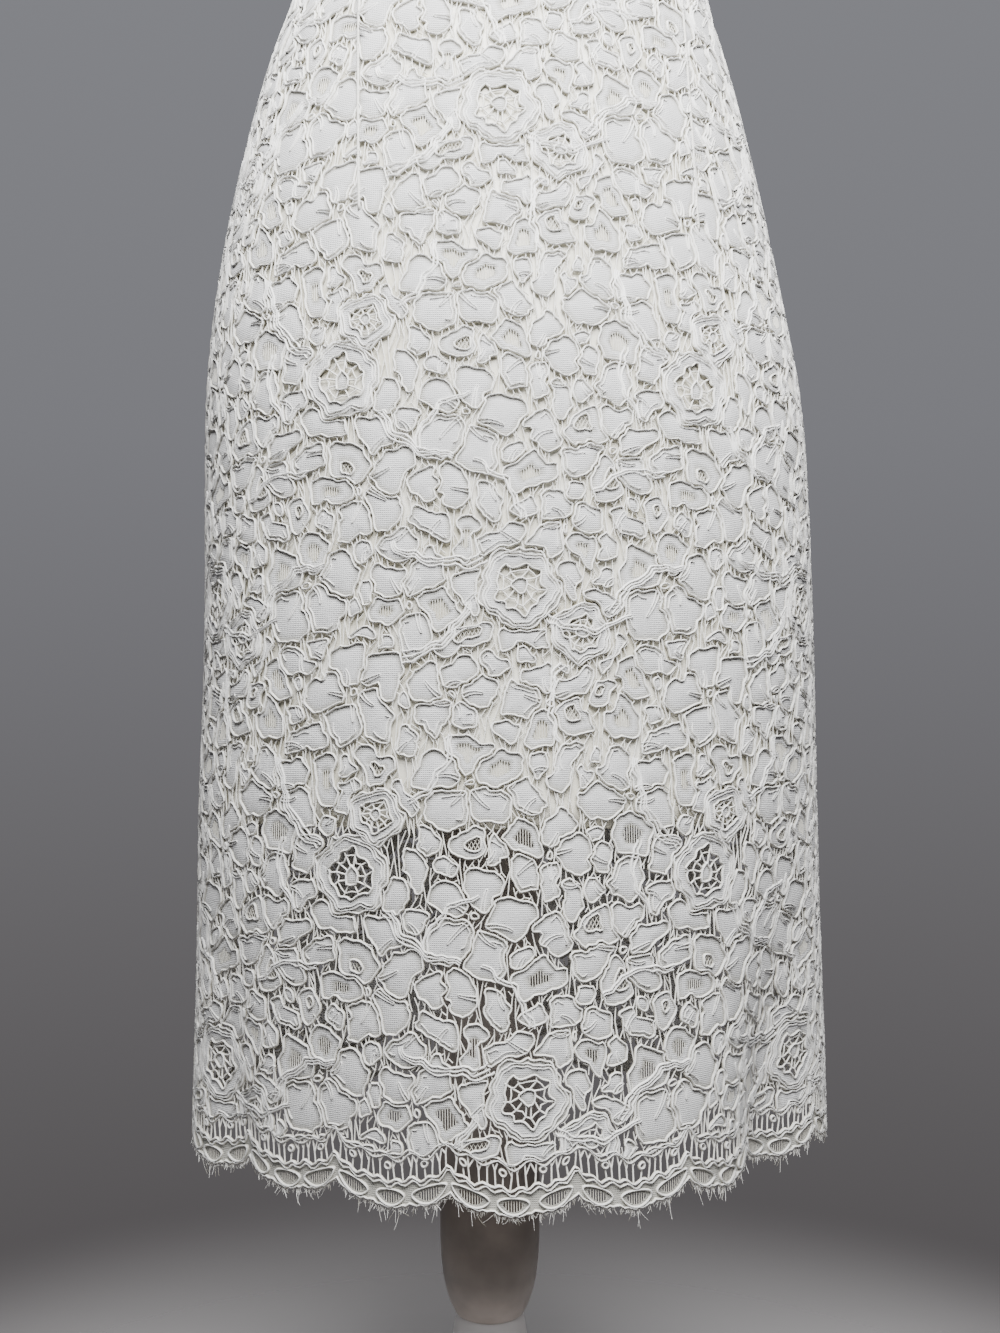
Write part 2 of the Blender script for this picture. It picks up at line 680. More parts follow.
# Stems: start x, start y, length, first heading and turn in degrees, cords side by side
STEMS = (
    (62, 182, 52, 150, -70, 3), (98, 150, 46, -60, 60, 3), (112, 204, 40, 30, 60, 2),
    (150, 78, 50, 200, -60, 3), (180, 48, 44, -30, 70, 2), (28, 52, 48, 60, -60, 3),
    (2, 26, 40, -120, 60, 2), (60, 120, 44, 160, 70, 2), (118, 132, 40, 80, -70, 2),
    (40, 186, 38, 250, 60, 2), (108, 30, 44, 0, 80, 3), (168, 96, 40, 100, 60, 2),
)


def circle(x, y, radius, count, waves=0, deep=0.0):
    t = np.linspace(0, 2 * math.pi, count, endpoint=False)
    r = radius * (1 + deep * np.cos(waves * t))
    return np.stack((x + r * np.cos(t), y + r * np.sin(t)), axis=1)


def crossings(outline, x):
    """Heights at which a closed outline crosses an upright line, in order."""
    a, b = outline, np.roll(outline, -1, axis=0)
    hit = (a[:, 0] > x) != (b[:, 0] > x)
    a, b = a[hit], b[hit]
    return np.sort(a[:, 1] + (x - a[:, 0]) * (b[:, 1] - a[:, 1]) / (b[:, 0] - a[:, 0]))


class Drawing:
    """Woven patches, cords and threads of one repeat, with points at one spacing."""

    def __init__(self, spacing):
        self.spacing = spacing
        self.fine = spacing < COARSE_SPACING
        self.woven, self.cords, self.threads = Pattern(), Pattern(), Pattern()

    def arrays(self):
        return self.woven.arrays(), self.cords.arrays(), self.threads.arrays()

    def cord(self, outline):
        steps = inward(outline)
        self.cords.rings([lifted(outline + steps * inset, lift) for inset, lift in CORD])


def soft_outline(outline, spacing, luck):
    """The outline with rounded corners, then small lobes and a crimp along its edge."""
    even, _ = even_outline(outline, SMOOTH_STEP)
    reach = int(3 * ROUNDING / SMOOTH_STEP)
    shifts = np.arange(-reach, reach + 1)
    weights = np.exp(-0.5 * (shifts * SMOOTH_STEP / ROUNDING) ** 2)
    weights /= weights.sum()
    even = sum(w * np.roll(even, k, axis=0) for w, k in zip(weights, shifts))
    outline, at = even_outline(even, spacing)
    total = at[-1] + at[1]
    deep = LOBE_OUT[0] + (LOBE_OUT[1] - LOBE_OUT[0]) * luck["lobe_out"]
    long = LOBE_ALONG[0] + (LOBE_ALONG[1] - LOBE_ALONG[0]) * luck["lobe_along"]
    lobes = max(3, round(total / long))
    out = deep * (np.abs(np.sin(math.pi * (lobes * at / total + luck["lobe_turn"]))) ** 0.7 - 0.5)
    out += CRIMP * np.sin(2 * math.pi * at / CRIMP_LENGTH)
    return outline - inward(outline) * out[:, None]


def add_lines(threads, hole, angle, step, lifts):
    """Straight threads across a hole, side by side at an angle from upright."""
    turn = np.array(((math.cos(angle), -math.sin(angle)), (math.sin(angle), math.cos(angle))))
    turned = hole @ turn
    for x in np.arange(turned[:, 0].min() + step / 2, turned[:, 0].max(), step):
        ends = crossings(turned, x)
        for low, high in zip(ends[::2], ends[1::2]):
            line = np.array(((x, low - THREAD_PAST), (x, high + THREAD_PAST))) @ turn.T
            threads.strip(line, THREAD_HALF, *lifts)


def add_patch(lace, outline, opened, luck):
    """One woven patch with its cord and a soft crown, perhaps with a ladder or net in a hole."""
    lace.cord(outline)
    foot = outline + inward(outline) * WOVEN_INSET
    if lace.fine and not opened:
        foot = foot[::2]
    middle = foot.mean(axis=0)
    shoulder = lifted(middle + (foot - middle) * SHOULDER_SHARE, WOVEN_SHOULDER)
    if not opened:
        rings = [lifted(foot, WOVEN_FOOT), shoulder] if lace.fine else [lifted(foot, WOVEN_FOOT)]
        lace.woven.rings(rings, (*middle, WOVEN_TOP))
        return
    scale = NET_SCALE[0] + (NET_SCALE[1] - NET_SCALE[0]) * luck["hole_size"]
    if luck["ladder"] < LADDER_SHARE:
        hole = middle + (foot - middle) * scale
        lace.woven.rings([lifted(foot, WOVEN_FOOT), shoulder, lifted(hole, WOVEN_FOOT)])
        add_lines(lace.threads, hole, 0.0, THREAD_STEP, LADDER_LIFTS)
        return
    away = 2 * math.pi * luck["hole_side"]
    radius = np.linalg.norm(foot - middle, axis=1).mean()
    centre = middle + radius * NET_SHIFT * np.array((math.cos(away), math.sin(away)))
    hole = centre + (foot - middle) * scale
    lace.woven.rings([lifted(foot, WOVEN_FOOT), lifted((foot + hole) / 2, WOVEN_SHOULDER),
                      lifted(hole, WOVEN_FOOT)])
    rim, _ = even_outline(hole, lace.spacing)
    lace.cord(rim - inward(rim) * 0.6)
    for angle in NET_ANGLES:
        add_lines(lace.threads, hole, angle, NET_STEP, NET_LIFTS)


def drawn(x, y):
    """Rows of points of the plain design, carried by the ripples."""
    return np.stack(rippled(x, y), axis=1)


def add_rose(lace, cell):
    """Two wavy woven bands round a pierced middle: spokes, a thin ring and a small disc."""
    x, y, radius = cell.x, cell.y, cell.long
    count = int(2 * math.pi * radius / lace.spacing)
    outer, line, inner = (drawn(*circle(x, y, radius * share, count, waves, deep).T)
                          for share, waves, deep in ROSE_BANDS)
    hub = drawn(*circle(x, y, radius * HUB_SHARE, 12).T)
    share, waves, deep = ROSE_WEB
    web = drawn(*circle(x, y, radius * share, 2 * waves, waves, deep).T)
    for outline in (outer, line, line - inward(line) * ROSE_LINE_APART, inner, hub):
        lace.cord(outline)
    foot = outer + inward(outer) * WOVEN_INSET
    rim = inner + inward(inner) * WOVEN_INSET
    disc = hub + inward(hub) * WOVEN_INSET
    lace.woven.rings([lifted(foot, WOVEN_FOOT), lifted((foot + rim) / 2, WOVEN_TOP),
                      lifted(rim, WOVEN_FOOT)])
    lace.woven.rings([lifted(disc, WOVEN_FOOT)], (*hub.mean(axis=0), WOVEN_TOP))
    lace.threads.strip(np.vstack((web, web[:2])), BAR_HALF * 1.3, *WEB_LIFTS)
    reach = radius * np.array(SPOKE_SHARES)
    for a in 2 * math.pi * np.arange(ROSE_SPOKES) / ROSE_SPOKES:
        ray = drawn(x + reach * math.cos(a), y + reach * math.sin(a))
        lace.threads.strip(ray, BAR_HALF * 1.5, *SPOKE_LIFTS)


def add_bars(threads, theta, cells, forked):
    """Thin upright bars across every gap between the patches, forked where the gap is tall."""
    rng = np.random.default_rng(LAYOUT_SEED + 1)
    gx, gy = np.meshgrid(np.arange(0, REPEAT_W, BAR_STEP / 2), np.arange(0, REPEAT_H, 0.5))
    room = np.full(gx.shape, np.inf)
    for c, radius in cells:
        dx, dy = wrap(gx - c.x, REPEAT_W), wrap(gy - c.y, REPEAT_H)
        there = np.interp(np.arctan2(dy, dx) % (2 * math.pi), theta, radius, period=2 * math.pi)
        room = np.minimum(room, np.hypot(dx, dy) - there)
    for k in range(0, gx.shape[1], 2):
        opened = np.concatenate(((False,), room[:, k] > 0, (False,)))
        starts = np.flatnonzero(opened[1:] & ~opened[:-1])
        ends = np.flatnonzero(~opened[1:] & opened[:-1])
        for a, b in zip(starts * 0.5, ends * 0.5):
            if b - a < BAR_LEAST:
                continue
            x = gx[0, k] + rng.uniform(-BAR_SLANT, BAR_SLANT, 2)
            foot, head = np.array((x[0], a - BAR_PAST[0])), np.array((x[1], b + BAR_PAST[1]))
            routes = [(foot, head)]
            if forked and b - a > FORK_LEAST:
                fork = foot + (head - foot) * rng.uniform(*FORK_AT)
                aside = np.array((FORK_SPREAD, 0))
                routes = [(foot - aside, fork), (foot + aside, fork), (fork, head)]
                if rng.uniform() < 0.5:
                    routes = [(foot, fork), (fork, head - aside), (fork, head + aside)]
            for route in routes:
                threads.strip(drawn(*np.array(route).T), BAR_HALF, *BAR_LIFTS)


GROWN = grown(layout())


def bent_route(start, heading, turn, long, steps):
    """Points and headings along a line that starts with a heading and turns evenly."""
    headings = heading + turn * np.linspace(0, 1, steps + 1)
    ahead = np.stack((np.cos(headings), np.sin(headings)), axis=1) * long / steps
    return start + np.vstack(((0, 0), np.cumsum(ahead[:-1], axis=0))), headings


def add_spur(cords, outline, first, luck):
    """A bent slot that runs into a patch from its edge, with a cord along both its sides."""
    steps = inward(outline)
    middle = outline.mean(axis=0)
    radius = np.linalg.norm(outline - middle, axis=1).mean()
    toward = steps[first] * 0.4 + (middle - outline[first]) / radius * 0.6
    heading = math.atan2(toward[1], toward[0]) + SPUR_LEAN * (luck["spur_lean"] - 0.5)
    bend = SPUR_BEND * (luck["spur_bend"] - 0.5)
    long = radius * (0.8 + 0.4 * luck["spur_long"])
    route, turns = bent_route(outline[first] + steps[first] * CORD[1][0], heading, bend, long, SPUR_STEPS)
    side = np.stack((-np.sin(turns), np.cos(turns)), axis=1)
    apart = SPUR_APART * np.linspace(*SPUR_TAPER, SPUR_STEPS + 1)
    tip = route[-1] + SPUR_APART * np.array((math.cos(turns[-1]), math.sin(turns[-1])))
    loop = np.vstack((route + side * apart[:, None], tip, (route - side * apart[:, None])[::-1]))
    cords.strip(loop, SPUR_HALF, CORD[2][1], CORD[1][1] * 0.9)


def add_echo(cords, outline, luck):
    """A second cord inside part of a patch's edge."""
    n = len(outline)
    first, count = int(n * luck["echo_start"]), int(n * (0.35 + 0.25 * luck["echo_long"]))
    bow = ECHO_BOW * np.linspace(-1, 1, count)[:, None] ** 4
    inset = ECHO_INSET + (bow if luck["echo"] < 0.5 else -bow)
    route = np.roll(outline, -first, axis=0)[:count]
    route = route + np.roll(inward(outline), -first, axis=0)[:count] * inset
    cords.strip(route, SPUR_HALF, CORD[2][1], CORD[1][1] * 0.85)


def add_stems(lace):
    """Bundles of wavy cords side by side that sweep over the patches."""
    for x, y, long, heading, turn, count in STEMS:
        route, turns = bent_route(np.array((x, y), float), math.radians(heading),
                                  math.radians(turn), long, int(long / lace.spacing))
        side = np.stack((-np.sin(turns), np.cos(turns)), axis=1)
        taper = np.linspace(*STEM_TAPER, len(route))[:, None]
        for k in range(count):
            away = (k - (count - 1) / 2) * STEM_APART * taper
            line = drawn(*(route + side * away).T)
            lace.cords.strip(line, CORD_HALF, *STEM_LIFTS)


def field_pattern(spacing):
    """One repeat of the field: woven patches, cords, and threads."""
    rng = np.random.default_rng(LAYOUT_SEED + 2)
    lace = Drawing(spacing)
    spur_radius = SPUR_RADIUS if lace.fine else COARSE_SPUR_RADIUS
    theta, cells = GROWN
    for c, radius in cells:
        luck = dict(zip(LUCK, rng.uniform(size=len(LUCK))))
        if c.kind == "rose":
            add_rose(lace, c)
            continue
        plain = drawn(c.x + radius * np.cos(theta), c.y + radius * np.sin(theta))
        if c.kind == "ring":
            lace.cord(even_outline(plain, FINE_SPACING)[0])
            continue
        outline = soft_outline(plain, spacing, luck)
        size = radius.mean()
        opened = size > NET_RADIUS and luck["opened"] < NET_SHARE
        add_patch(lace, outline, opened, luck)
        if opened:
            continue
        if c.kind == "petal":
            inner = np.array((math.cos(c.angle), math.sin(c.angle)))
            add_spur(lace.cords, outline, int(np.argmin(outline @ inner)), luck)
        elif size > spur_radius and luck["spur"] < SPUR_SHARE:
            add_spur(lace.cords, outline, int(len(outline) * luck["spur_start"]), luck)
        if lace.fine and size > ECHO_RADIUS and luck["echo"] < ECHO_SHARE:
            add_echo(lace.cords, outline, luck)
    add_stems(lace)
    add_bars(lace.threads, theta, cells, lace.fine)
    return lace.arrays()


# Hem border, from the hem's edge up: boats, two cords, posts and rings, two cords
# height, half length, half height
BOAT = (5.4, 10.0, 4.7)
BOAT_OPENING = 0.58
BOAT_VARIES = 0.09
BOAT_POINTS = 40
BAND = (0.3, 10.9)
# height, wave's depth, waves in a repeat
BORDER_CORDS = ((1.0, 0.5, 36), (11.2, 1.3, 21), (13.0, 1.1, 21), (23.8, 1.7, 13), (25.5, 1.3, 13))
POST_FORK = 1.5
POST_STEP = SCALLOP_W / 16
POST_FOOT, POST_HEAD = 12.9, 24.4
POST_HALF = 0.42
POST_SWAY = 0.9
POST_FORK_AT = (0.45, 0.75)
# height, radius
BORDER_RING = (20.4, 2.1)
RING_EVERY = 5
RING_POINTS = 11


def add_boat(lace, s, half_lobe):
    """A boat-shaped cord with a ladder in its middle, on the band that joins the hem's boats."""
    height, half_long, half_tall = BOAT
    varied = 1 - BOAT_VARIES + BOAT_VARIES * math.sin(0.7 * s)
    half_long, half_tall = varied * half_long, (2 - varied) * varied * half_tall
    t = np.linspace(0, 2 * math.pi, BOAT_POINTS, endpoint=False)
    across, up = np.cos(t), np.sin(t)
    boat = np.stack((s + half_long * across, height + half_tall * up * np.abs(up) ** 0.3), axis=1)
    foot, head = BAND
    middle, half_band = (foot + head) / 2, (head - foot) / 2
    far = np.minimum(half_lobe / np.maximum(np.abs(across), 1e-6),
                     half_band / np.maximum(np.abs(up), 1e-6))
    band = np.stack((s + far * across, middle + far * up), axis=1)
    hole = np.array((s, height)) + (boat - (s, height)) * BOAT_OPENING
    lace.woven.rings([lifted(band, WOVEN_FOOT), lifted(boat, WOVEN_FOOT), lifted(hole, WOVEN_FOOT)])
    lace.cord(even_outline(boat, lace.spacing)[0])
    half_hole = half_long * BOAT_OPENING
    for x in np.arange(s - half_hole + THREAD_STEP, s + half_hole, THREAD_STEP):
        ends = crossings(hole, x)
        if len(ends) == 2:
            line = np.array(((x, ends[0] - THREAD_PAST), (x, ends[1] + THREAD_PAST)))
            lace.threads.strip(line, THREAD_HALF, *BOAT_LIFTS)


def border_pattern(spacing):
    """One repeat of the hem's border as (length, height above the hem's edge, lift)."""
    rng = np.random.default_rng(LAYOUT_SEED + 3)
    lace = Drawing(spacing)
    lobe = SCALLOP_W / LOBES_PER_SCALLOP
    for k in range(3 * LOBES_PER_SCALLOP):
        add_boat(lace, SCALLOP_SHIFT + (k + 0.5) * lobe, lobe / 2)
    at = np.linspace(0, REPEAT_W, int(REPEAT_W / FINE_SPACING) + 1)
    for level, deep, waves in BORDER_CORDS:
        wave = deep * np.sin(2 * math.pi * at * waves / REPEAT_W + 0.4 * level)
        wave += CRIMP * np.sin(2 * math.pi * at * 60 / REPEAT_W + level)
        lace.cords.strip(np.stack((at, level + wave), axis=1), CORD_HALF, CORD[0][1], CORD[1][1])
    for k in range(int(round(REPEAT_W / POST_STEP))):
        s = k * POST_STEP + rng.uniform(-0.5, 0.5)
        sway = rng.uniform(-POST_SWAY, POST_SWAY, 2)
        if k % RING_EVERY == 0:
            level, radius = BORDER_RING
            lace.cord(circle(s, level, radius, RING_POINTS))
            route = np.array(((s + sway[0], POST_FOOT), (s, level - radius)))
        else:
            fork = (s + sway[0], POST_FOOT + (POST_HEAD - POST_FOOT) * rng.uniform(*POST_FORK_AT))
            route = np.array(((s, POST_FOOT), fork, (s + sway[1] + POST_FORK, POST_HEAD)))
            arm = np.array((fork, (s + sway[1] - POST_FORK, POST_HEAD)))
            lace.threads.strip(arm, POST_HALF, *POST_LIFTS)
        lace.threads.strip(route, POST_HALF, *POST_LIFTS)
    return lace.arrays()


def spread(panel, pattern, border, floor):
    """A pattern repeated over a panel, laid on the body and cut off at the panel's edges."""
    points, faces = pattern
    columns = range(-2, 2)
    rows = (0,) if border else range(-1, 5)
    shifts = np.array([(i * REPEAT_W, j * REPEAT_H, 0) for i in columns for j in rows])
    if panel.low == 0:
        shifts = shifts[shifts[:, 0] >= -REPEAT_W]
    if panel.high == 0:
        shifts = shifts[shifts[:, 0] < REPEAT_W]
    flat = (points[None] + shifts[:, None]).reshape(-1, 3)
    triangles = (faces[None] + (np.arange(len(shifts)) * len(points))[:, None, None]).reshape(-1, 3)
    if border:
        flat[:, 1] += hem_height(flat[:, 0])
    placed_points, cut = panel.laid(flat, floor)
    triangles = triangles[~cut[triangles].all(axis=1)]
    return placed_points, triangles, flat


# Part of each panel's lace, its suffix and the heights at which it is split
LACE_PARTS = (("", ()), ("_cords", (300.0, FINE_TOP)), ("_threads", ()))


def lay_lace(panel, fine, coarse, finishes):
    """The panel's lace: one woven sheet, its cords in bands of height, and its threads."""
    made = []
    for index, ((part, splits), finish) in enumerate(zip(LACE_PARTS, finishes)):
        low = fine if panel.name == "front" else coarse
        laid = [spread(panel, low[0][index], False, BORDER_TALL),
                spread(panel, low[1][index], True, 0.0)]
        if low is fine:
            laid = [(placed_points, faces[lace[faces[:, 0], 1] < FINE_TOP], lace)
                    for placed_points, faces, lace in laid]
            placed_points, faces, lace = spread(panel, coarse[0][index], False, BORDER_TALL)
            laid.append((placed_points, faces[lace[faces[:, 0], 1] >= FINE_TOP], lace))
        all_points, all_faces, all_flat = zip(*laid)
        offset = np.cumsum([0] + [len(part_points) for part_points in all_points])
        points, flat = np.concatenate(all_points), np.concatenate(all_flat)
        triangles = np.concatenate([faces + start for faces, start in zip(all_faces, offset)])
        band = np.searchsorted(splits, flat[triangles[:, 0], 1])
        for k in range(len(splits) + 1):
            used, renumbered = np.unique(triangles[band == k], return_inverse=True)
            name = f"lace_{panel.name}_sheet{part}" + (f"_{k + 1}" if splits else "")
            made.append(mesh_object(name, points[used], renumbered.reshape(-1, 3), finish, flat[used]))
    return made


def closed_shell(name, angles, heights, inwards, thick, finish):
    """A thin wall on a panel's grid, with a rim all round."""
    rows, columns = angles.shape
    k = np.arange(rows * columns).reshape(rows, columns)
    front = quads(*corners(k))
    rim = np.concatenate((k[0], k[1:, -1], k[-1, -2::-1], k[-2:0:-1, 0]))
    after = np.roll(rim, -1)
    total = rows * columns
    side = quads(after, rim, rim + total, after + total)
    outer = placed(angles, heights, inwards).reshape(-1, 3)
    inner = placed(angles, heights, inwards + thick).reshape(-1, 3)
    faces = np.concatenate((front, front[:, ::-1] + total, side))
    return mesh_object(name, np.concatenate((outer, inner)), faces, finish)


# Fringe, seams and bindings

HAIR_PER_MM = {"front": 2.5, "back_left": 0.9, "back_right": 0.9}
HAIR_STEPS = 3
HAIR_RADIUS = 0.16
HAIR_LONG = (1.4, 4.4)
HAIR_STRAY = (4.5, 10.0)
STRAY_SHARE = 0.12
HAIR_START = (-0.2, 1.2)
HAIR_OUT = (-0.3, 0.8)
NO_FLOOR = -30.0


def add_fringe(panel, finish):
    """Short bent hairs along the hem's cut edge, with a few long strays."""
    rng = np.random.default_rng(LAYOUT_SEED + 4)
    low, high = panel.seam_lengths(HEM)
    count = int((high - low) * HAIR_PER_MM[panel.name])
    hairs = Pattern()
    spin = np.radians((90, 210, 330))
    for s in np.sort(rng.uniform(low + 0.5, high - 0.5, count)):
        span = HAIR_STRAY if rng.uniform() < STRAY_SHARE else HAIR_LONG
        long = rng.uniform(*span) * (0.6 + 0.4 * math.sin(s / 3.1) ** 2)
        heading, bend = rng.normal(0, 0.45), rng.normal(0, 0.5)
        out, out_bend = rng.uniform(*HAIR_OUT), rng.normal(0, 0.3)
        point = np.array((s, rng.uniform(*HAIR_START), -0.3))
        rings = []
        for k in range(HAIR_STEPS + 1):
            radius = HAIR_RADIUS * (1 - 0.6 * k / HAIR_STEPS)
            ring = np.stack((np.cos(spin) * radius, np.zeros(3), np.sin(spin) * radius), axis=1)
            rings.append(point + ring)
            stride = long / HAIR_STEPS
            point = point + stride * np.array((math.sin(heading), -math.cos(heading), 0.35 * out))
            heading += bend / HAIR_STEPS
            out += out_bend
        hairs.rings(rings)
    flat, faces = hairs.arrays()
    flat[:, 1] += hem_height(flat[:, 0])
    points, cut = panel.laid(flat, NO_FLOOR)
    faces = faces[~cut[faces].any(axis=1)]
    return mesh_object(f"fringe_{panel.name}_hairs", points, faces, finish, flat)


def tube(name, route, radius, finish, sides=8, flatten=1.0, outwards=None):
    """A closed round rod along a route of points, flattened across its outward direction."""
    along = np.gradient(route, axis=0)
    along /= np.linalg.norm(along, axis=1, keepdims=True)
    if outwards is None:
        outwards = np.tile((0.0, 0.0, 1.0), (len(route), 1))
    side = np.cross(along, outwards)
    side /= np.linalg.norm(side, axis=1, keepdims=True)
    out = np.cross(side, along)
    spin = np.linspace(0, 2 * math.pi, sides, endpoint=False)
    rings = [route + radius * (math.cos(a) * side + flatten * math.sin(a) * out) for a in spin]
    shape = Pattern()
    shape.rings(list(np.stack(rings, axis=1)), route[-1], route[0])
    return mesh_object(name, *shape.arrays(), finish)


DART_RADIUS = 0.0008
SEAM_RADIUS = 0.0012
SEAM_LIFT = 0.0002
BINDING_RADIUS = 0.0013
# Depth, and how fast two waves turn along the seam
PUCKERS = (0.0004, 900, 371)
SEAM_STEPS = 180
DART_STEPS = 120


def outward_at(angle, z):
    return (placed(angle, z, -0.001) - placed(angle, z, 0.0)) / 0.001


def add_side_seams(finish):
    """A slightly puckered ridge down each side, where the front meets a back."""
    made = []
    for name, side in (("left", 1), ("right", -1)):
        edge = PANELS[0].seam_lengths(HEM)[(side + 1) // 2]
        low = LACE_FLOOR + (float(hem_height(edge)) + 1) / 1000
        z = np.linspace(low, UNDERARM, SEAM_STEPS)
        angle = np.full_like(z, side * RIGHT_ANGLE)
        deep, wave, other_wave = PUCKERS
        lift = SEAM_LIFT + deep * np.sin(z * wave) * np.sin(z * other_wave)
        route = placed(angle, z, -lift)
        made.append(tube(f"side_seam_{name}", route, SEAM_RADIUS, finish, 8, 0.8, outward_at(angle, z)))
    return made


def add_darts(finish):
    """A fine closed seam down each dart."""
    made = []
    for panel in PANELS:
        sides = [side for side in (-1, 1) if panel.low <= side <= panel.high]
        for (place, low, high, _, _), side in ((dart, side) for dart in panel.darts for side in sides):
            z = np.linspace(low, high, DART_STEPS)
            s = np.full_like(z, side * (place + 0.5))
            angle = panel.centre + panel.turn(s, z)
            route = placed(angle, z, -panel.ridge(s, z) / 1000 - 0.0001)
            name = f"dart_{panel.name.split('_')[0]}_{panel.hand(side)}"
            made.append(tube(name, route, DART_RADIUS, finish, 6, 0.8, outward_at(angle, z)))
    return made


def add_bindings(panel, finish):
    """Rolled edges round the panel's neckline and its armholes."""
    angles, heights = panel.grid(LINING_HEM, *BINDING_GRID)
    route = placed(angles[-1], heights[-1], LINING_IN / 2)
    made = [tube(f"neck_binding_{panel.name}", route, BINDING_RADIUS, finish)]
    for column, used, side in ((0, panel.low < 0, -1), (-1, panel.high > 0, 1)):
        if used:
            rows = heights[:, column] >= UNDERARM - 0.004
            route = placed(angles[rows, column], heights[rows, column], LINING_IN / 2)
            name = f"armhole_binding_{panel.name.split('_')[0]}_{panel.hand(side)}"
            made.append(tube(name, route, BINDING_RADIUS, finish))
    return made


# Zip

ZIP_HALF_CHAIN = 0.0014
ZIP_CHAIN_IN = 0.0003
ZIP_CHAIN_TOP = 1.352
TOOTH_STEP = 0.0019
TOOTH_TALL = 0.0013
TOOTH_THICK = 0.0012
TOOTH_REACH = (-0.0003, 0.00135)
TAPE_IN = 0.0016
TAPE_THICK = 0.0006


def add_zip(finish):
    """Moulded teeth in two rows over a thin tape, down the centre back."""
    levels = np.arange(ZIP_BOTTOM + TOOTH_STEP, ZIP_CHAIN_TOP - TOOTH_STEP, TOOTH_STEP)
    corner = np.array([(a, b, c) for c in (0, 1) for b in (0, 1) for a in (0, 1)])
    faces = np.array(((0, 1, 3), (0, 3, 2), (4, 7, 5), (4, 6, 7), (0, 5, 1), (0, 4, 5),
                      (2, 3, 7), (2, 7, 6), (0, 2, 6), (0, 6, 4), (1, 5, 7), (1, 7, 3)))
    teeth = Pattern()
    for row in (0, 1):
        side = 1 - 2 * row
        for z in levels + row * TOOTH_STEP / 2:
            reach = np.where(corner[:, 0] == row, *(TOOTH_REACH[::side]))
            height = z + corner[:, 1] * TOOTH_TALL
            angle = math.pi + side * reach / section(height)[0]
            points = placed(angle, height, ZIP_CHAIN_IN + corner[:, 2] * TOOTH_THICK)
            teeth.add(points, faces)
    rows = mesh_object("zip_teeth", *teeth.arrays(), finish)
    rows.data.shade_flat()
    z = np.linspace(ZIP_BOTTOM, ZIP_CHAIN_TOP, 60)
    half = ZIP_HALF_CHAIN / section(z)[0]
    tape = closed_shell("zip_tape", math.pi + np.stack((-half, half), axis=1), np.stack((z, z), axis=1),
                        TAPE_IN, TAPE_THICK, finish)
    for thing in (rows, tape):
        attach(thing, "dress_on_form")
    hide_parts("zip_chain")


# Form and stand

# radius, height
COLUMN_ROUTE = (
    (0.0290, 0.6117), (0.0290, 0.250), (0.0288, 0.235), (0.0282, 0.224), (0.0271, 0.214),
    (0.0255, 0.2063), (0.0235, 0.2000), (0.0212, 0.1950), (0.0203, 0.1932), (0.0198, 0.1925),
)
CONE_ROUTE = (
    (0.0193, 0.1922), (0.0215, 0.180), (0.0250, 0.150), (0.0310, 0.110), (0.0420, 0.070),
    (0.0650, 0.042), (0.1000, 0.030), (0.1500, 0.022), (0.1950, 0.014), (0.2025, 0.011),
    (0.2050, 0.006), (0.2050, 0.0005), (0.2040, 0.000),
)
# Share of the ring's width and of the rise, for the rounded ends of the torso
CAP_RINGS = ((0.985, 0.45), (0.95, 0.8), (0.86, 1.0))
CAP_RISES = (-0.008, 0.004)
TORSO_STEPS = 34
ROUND_STEPS = 96


def turned(name, route, finish):
    """A closed solid of revolution about the stand's axis, from a route of (radius, height)."""
    spin = np.linspace(0, 2 * math.pi, ROUND_STEPS, endpoint=False)
    rings = [np.stack((r * np.cos(spin), r * np.sin(spin), np.full(ROUND_STEPS, z)), axis=1)
             for r, z in route]
    shape = Pattern()
    shape.rings(rings, (0.0, 0.0, route[-1][1]))
    shape.rings([rings[0][::-1]], (0.0, 0.0, route[0][1]))
    thing = mesh_object(name, *shape.arrays(), finish)
    thing.data.set_sharp_from_angle(angle=math.radians(40))
    return thing


def add_form(finish):
    """The smooth torso, closed under the hips and over the neck."""
    levels = np.concatenate((np.linspace(FORM_BOTTOM, LEVEL_TOP, TORSO_STEPS),
                             np.linspace(LEVEL_TOP, FORM_TOP, TORSO_STEPS)[1:]))
    turns = np.linspace(0, 2 * math.pi, ROUND_STEPS, endpoint=False)
    rings = []
    for z in levels:
        upper = smooth((z - LEVEL_TOP) / (UNDERARM - LEVEL_TOP))
        inwards = FORM_IN + (FORM_SHOULDER_IN - FORM_IN) * upper
        rings.append(placed(turns, np.full(ROUND_STEPS, z), inwards))
    shape = Pattern()
    for ring, rise in zip((rings[0][::-1], rings[-1]), CAP_RISES):
        middle = ring.mean(axis=0)
        caps = [ring]
        for share, part in CAP_RINGS:
            cap = middle + (ring - middle) * share
            cap[:, 2] = middle[2] + rise * part
            caps.append(cap)
        shape.rings(caps, (middle[0], middle[1], middle[2] + rise))
    shape.rings(rings)
    form = mesh_object("form_torso", *shape.arrays(), finish)
    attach(form, "dress_on_form")
    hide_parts("dress_form")


# Finishes

def nodes_of(finish):
    tree = finish.node_tree
    return tree, tree.nodes["Principled BSDF"]


def add_node(tree, kind, *joined, **settings):
    """A node whose first inputs are joined to sockets, and whose named inputs and settings are set."""
    node = tree.nodes.new(kind)
    for place, socket in enumerate(joined):
        tree.links.new(socket, node.inputs[place])
    for key, value in settings.items():
        used = key.replace("_", " ")
        if isinstance(value, bpy.types.NodeSocket):
            tree.links.new(value, node.inputs[used])
        elif used in node.inputs:
            node.inputs[used].default_value = value
        else:
            setattr(node, key, value)
    return node


